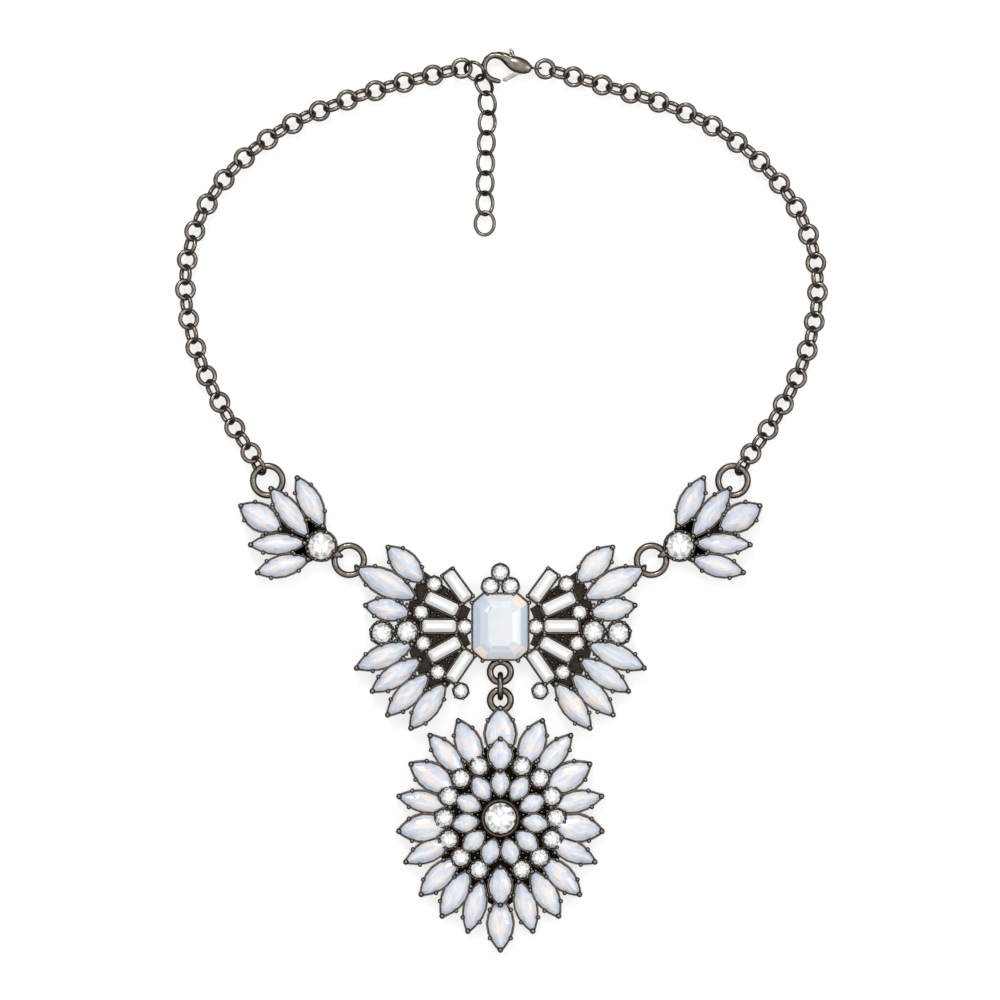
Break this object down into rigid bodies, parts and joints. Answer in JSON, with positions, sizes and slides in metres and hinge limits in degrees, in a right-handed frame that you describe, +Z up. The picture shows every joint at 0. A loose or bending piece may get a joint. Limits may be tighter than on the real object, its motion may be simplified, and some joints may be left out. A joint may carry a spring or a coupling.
{
  "type": "bib necklace",
  "caption": "Fastened bib necklace lying flat: fans of navette and baguette stones round an octagon stone, petalled pendant, side clusters, cable chain, lobster clasp and adjusting chain.",
  "frame": {"origin": "on the surface the necklace lies on, under the middle of its footprint", "axes": "+Y from the pendant towards the clasp, +Z up from the surface, +X to the right as seen from above"},
  "size_m": [0.1792, 0.2484, 0.0074],
  "materials": {
    "metal": "antiqued dark gunmetal plating over a cast base metal, lighter on the edges",
    "opal": "milky opal glass, faceted and polished",
    "crystal": "clear glass, faceted and polished, foiled behind"
  },
  "bodies": {
    "necklace": {"bib_frame": "metal", "bib_octagon": "opal", "wing_right_navette_1": "opal", "wing_right_navette_2": "opal", "wing_right_navette_3": "opal", "wing_right_navette_4": "opal", "wing_right_navette_5": "opal", "wing_right_navette_6": "opal", "wing_right_navette_7": "opal", "wing_right_baguette_1": "crystal", "wing_right_baguette_2": "crystal", "wing_right_baguette_3": "crystal", "wing_right_baguette_4": "crystal", "wing_right_baguette_5": "crystal", "wing_left_navette_1": "opal", "wing_left_navette_2": "opal", "wing_left_navette_3": "opal", "wing_left_navette_4": "opal", "wing_left_navette_5": "opal", "wing_left_navette_6": "opal", "wing_left_navette_7": "opal", "wing_left_baguette_1": "crystal", "wing_left_baguette_2": "crystal", "wing_left_baguette_3": "crystal", "wing_left_baguette_4": "crystal", "wing_left_baguette_5": "crystal", "cluster_right": "metal", "cluster_right_navette_1": "opal", "cluster_right_navette_2": "opal", "cluster_right_navette_3": "opal", "cluster_right_navette_4": "opal", "cluster_right_navette_5": "opal", "cluster_right_crystal": "crystal", "cluster_left": "metal", "cluster_left_navette_1": "opal", "cluster_left_navette_2": "opal", "cluster_left_navette_3": "opal", "cluster_left_navette_4": "opal", "cluster_left_navette_5": "opal", "cluster_left_crystal": "crystal", "drop_link": "metal", "pendant_frame": "metal", "pendant_centre": "crystal", "pendant_navette_top": "opal", "pendant_navette_bottom": "opal", "ring_chain_right": "metal", "ring_wing_right": "metal", "ring_chain_left": "metal", "ring_wing_left": "metal", "chain_right": "metal", "chain_left": "metal", "extender_chain": "metal", "end_ring": "metal", "clasp_body": "metal"},
    "lever": {"clasp_lever": "metal"}
  },
  "joints": [
    {"name": "clasp_lever_hinge", "type": "hinge", "parent": "necklace", "child": "lever", "pos_m": [0.00527, 0.11799, 0.00265], "axis": [0, 0, -1], "range_deg": [0, 25], "stiffness_Nm_per_rad": 0.01, "springref_deg": -11.46}
  ]
}
